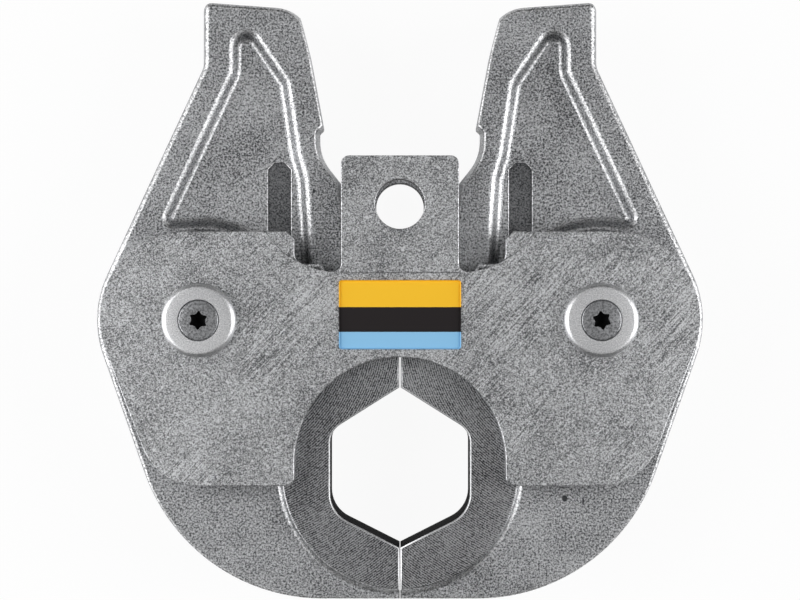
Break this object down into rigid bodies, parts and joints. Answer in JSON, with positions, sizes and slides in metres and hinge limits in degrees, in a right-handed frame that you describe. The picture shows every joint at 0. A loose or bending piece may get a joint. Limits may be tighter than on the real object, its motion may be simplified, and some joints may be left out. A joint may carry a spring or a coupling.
{
  "type": "press fitting tool jaw",
  "caption": "Steel press jaw for pipe fittings: forged jaw halves turn on bolts between side plates with a slotted-in tongue, and close round a six-sided press contour.",
  "frame": {"origin": "middle of the retaining bore in the tongue, halfway between the side plates", "axes": "+X to the right arm, +Y towards the arm tips, +Z out of the front side plate along the retaining bore"},
  "size_m": [0.176, 0.173, 0.042],
  "materials": {
    "jaw_steel": "forged and blasted steel, grey, machined on the bosses",
    "plate_steel": "tumbled steel plate, satin",
    "bolt_steel": "ground and hardened steel",
    "washer_steel": "turned steel, satin",
    "screw_steel": "zinc plated steel, satin",
    "spring_steel": "spring wire, dark",
    "label_foil": "printed foil in three bands of yellow, black and light blue"
  },
  "bodies": {
    "frame": {"front_side_plate": "plate_steel", "rear_side_plate": "plate_steel", "spring_pin": "bolt_steel", "jaw_spring": "spring_steel", "front_label": "label_foil", "left_pivot_bolt": "bolt_steel", "right_pivot_bolt": "bolt_steel", "front_left_washer": "washer_steel", "rear_left_washer": "washer_steel", "front_right_washer": "washer_steel", "rear_right_washer": "washer_steel", "front_left_screw": "screw_steel", "rear_left_screw": "screw_steel", "front_right_screw": "screw_steel", "rear_right_screw": "screw_steel"},
    "left_half": {"left_jaw": "jaw_steel"},
    "right_half": {"right_jaw": "jaw_steel"}
  },
  "joints": [
    {"name": "left_jaw_pivot", "type": "hinge", "parent": "frame", "child": "left_half", "pos_m": [-0.057, -0.033, 0], "axis": [0, 0, -1], "range_deg": [0, 17], "stiffness_Nm_per_rad": 0.9, "springref_deg": -20.05, "deforming": ["jaw_spring"]},
    {"name": "right_jaw_pivot", "type": "hinge", "parent": "frame", "child": "right_half", "pos_m": [0.057, -0.033, 0], "axis": [0, 0, 1], "range_deg": [0, 17], "stiffness_Nm_per_rad": 0.9, "springref_deg": -20.05, "deforming": ["jaw_spring"]}
  ]
}
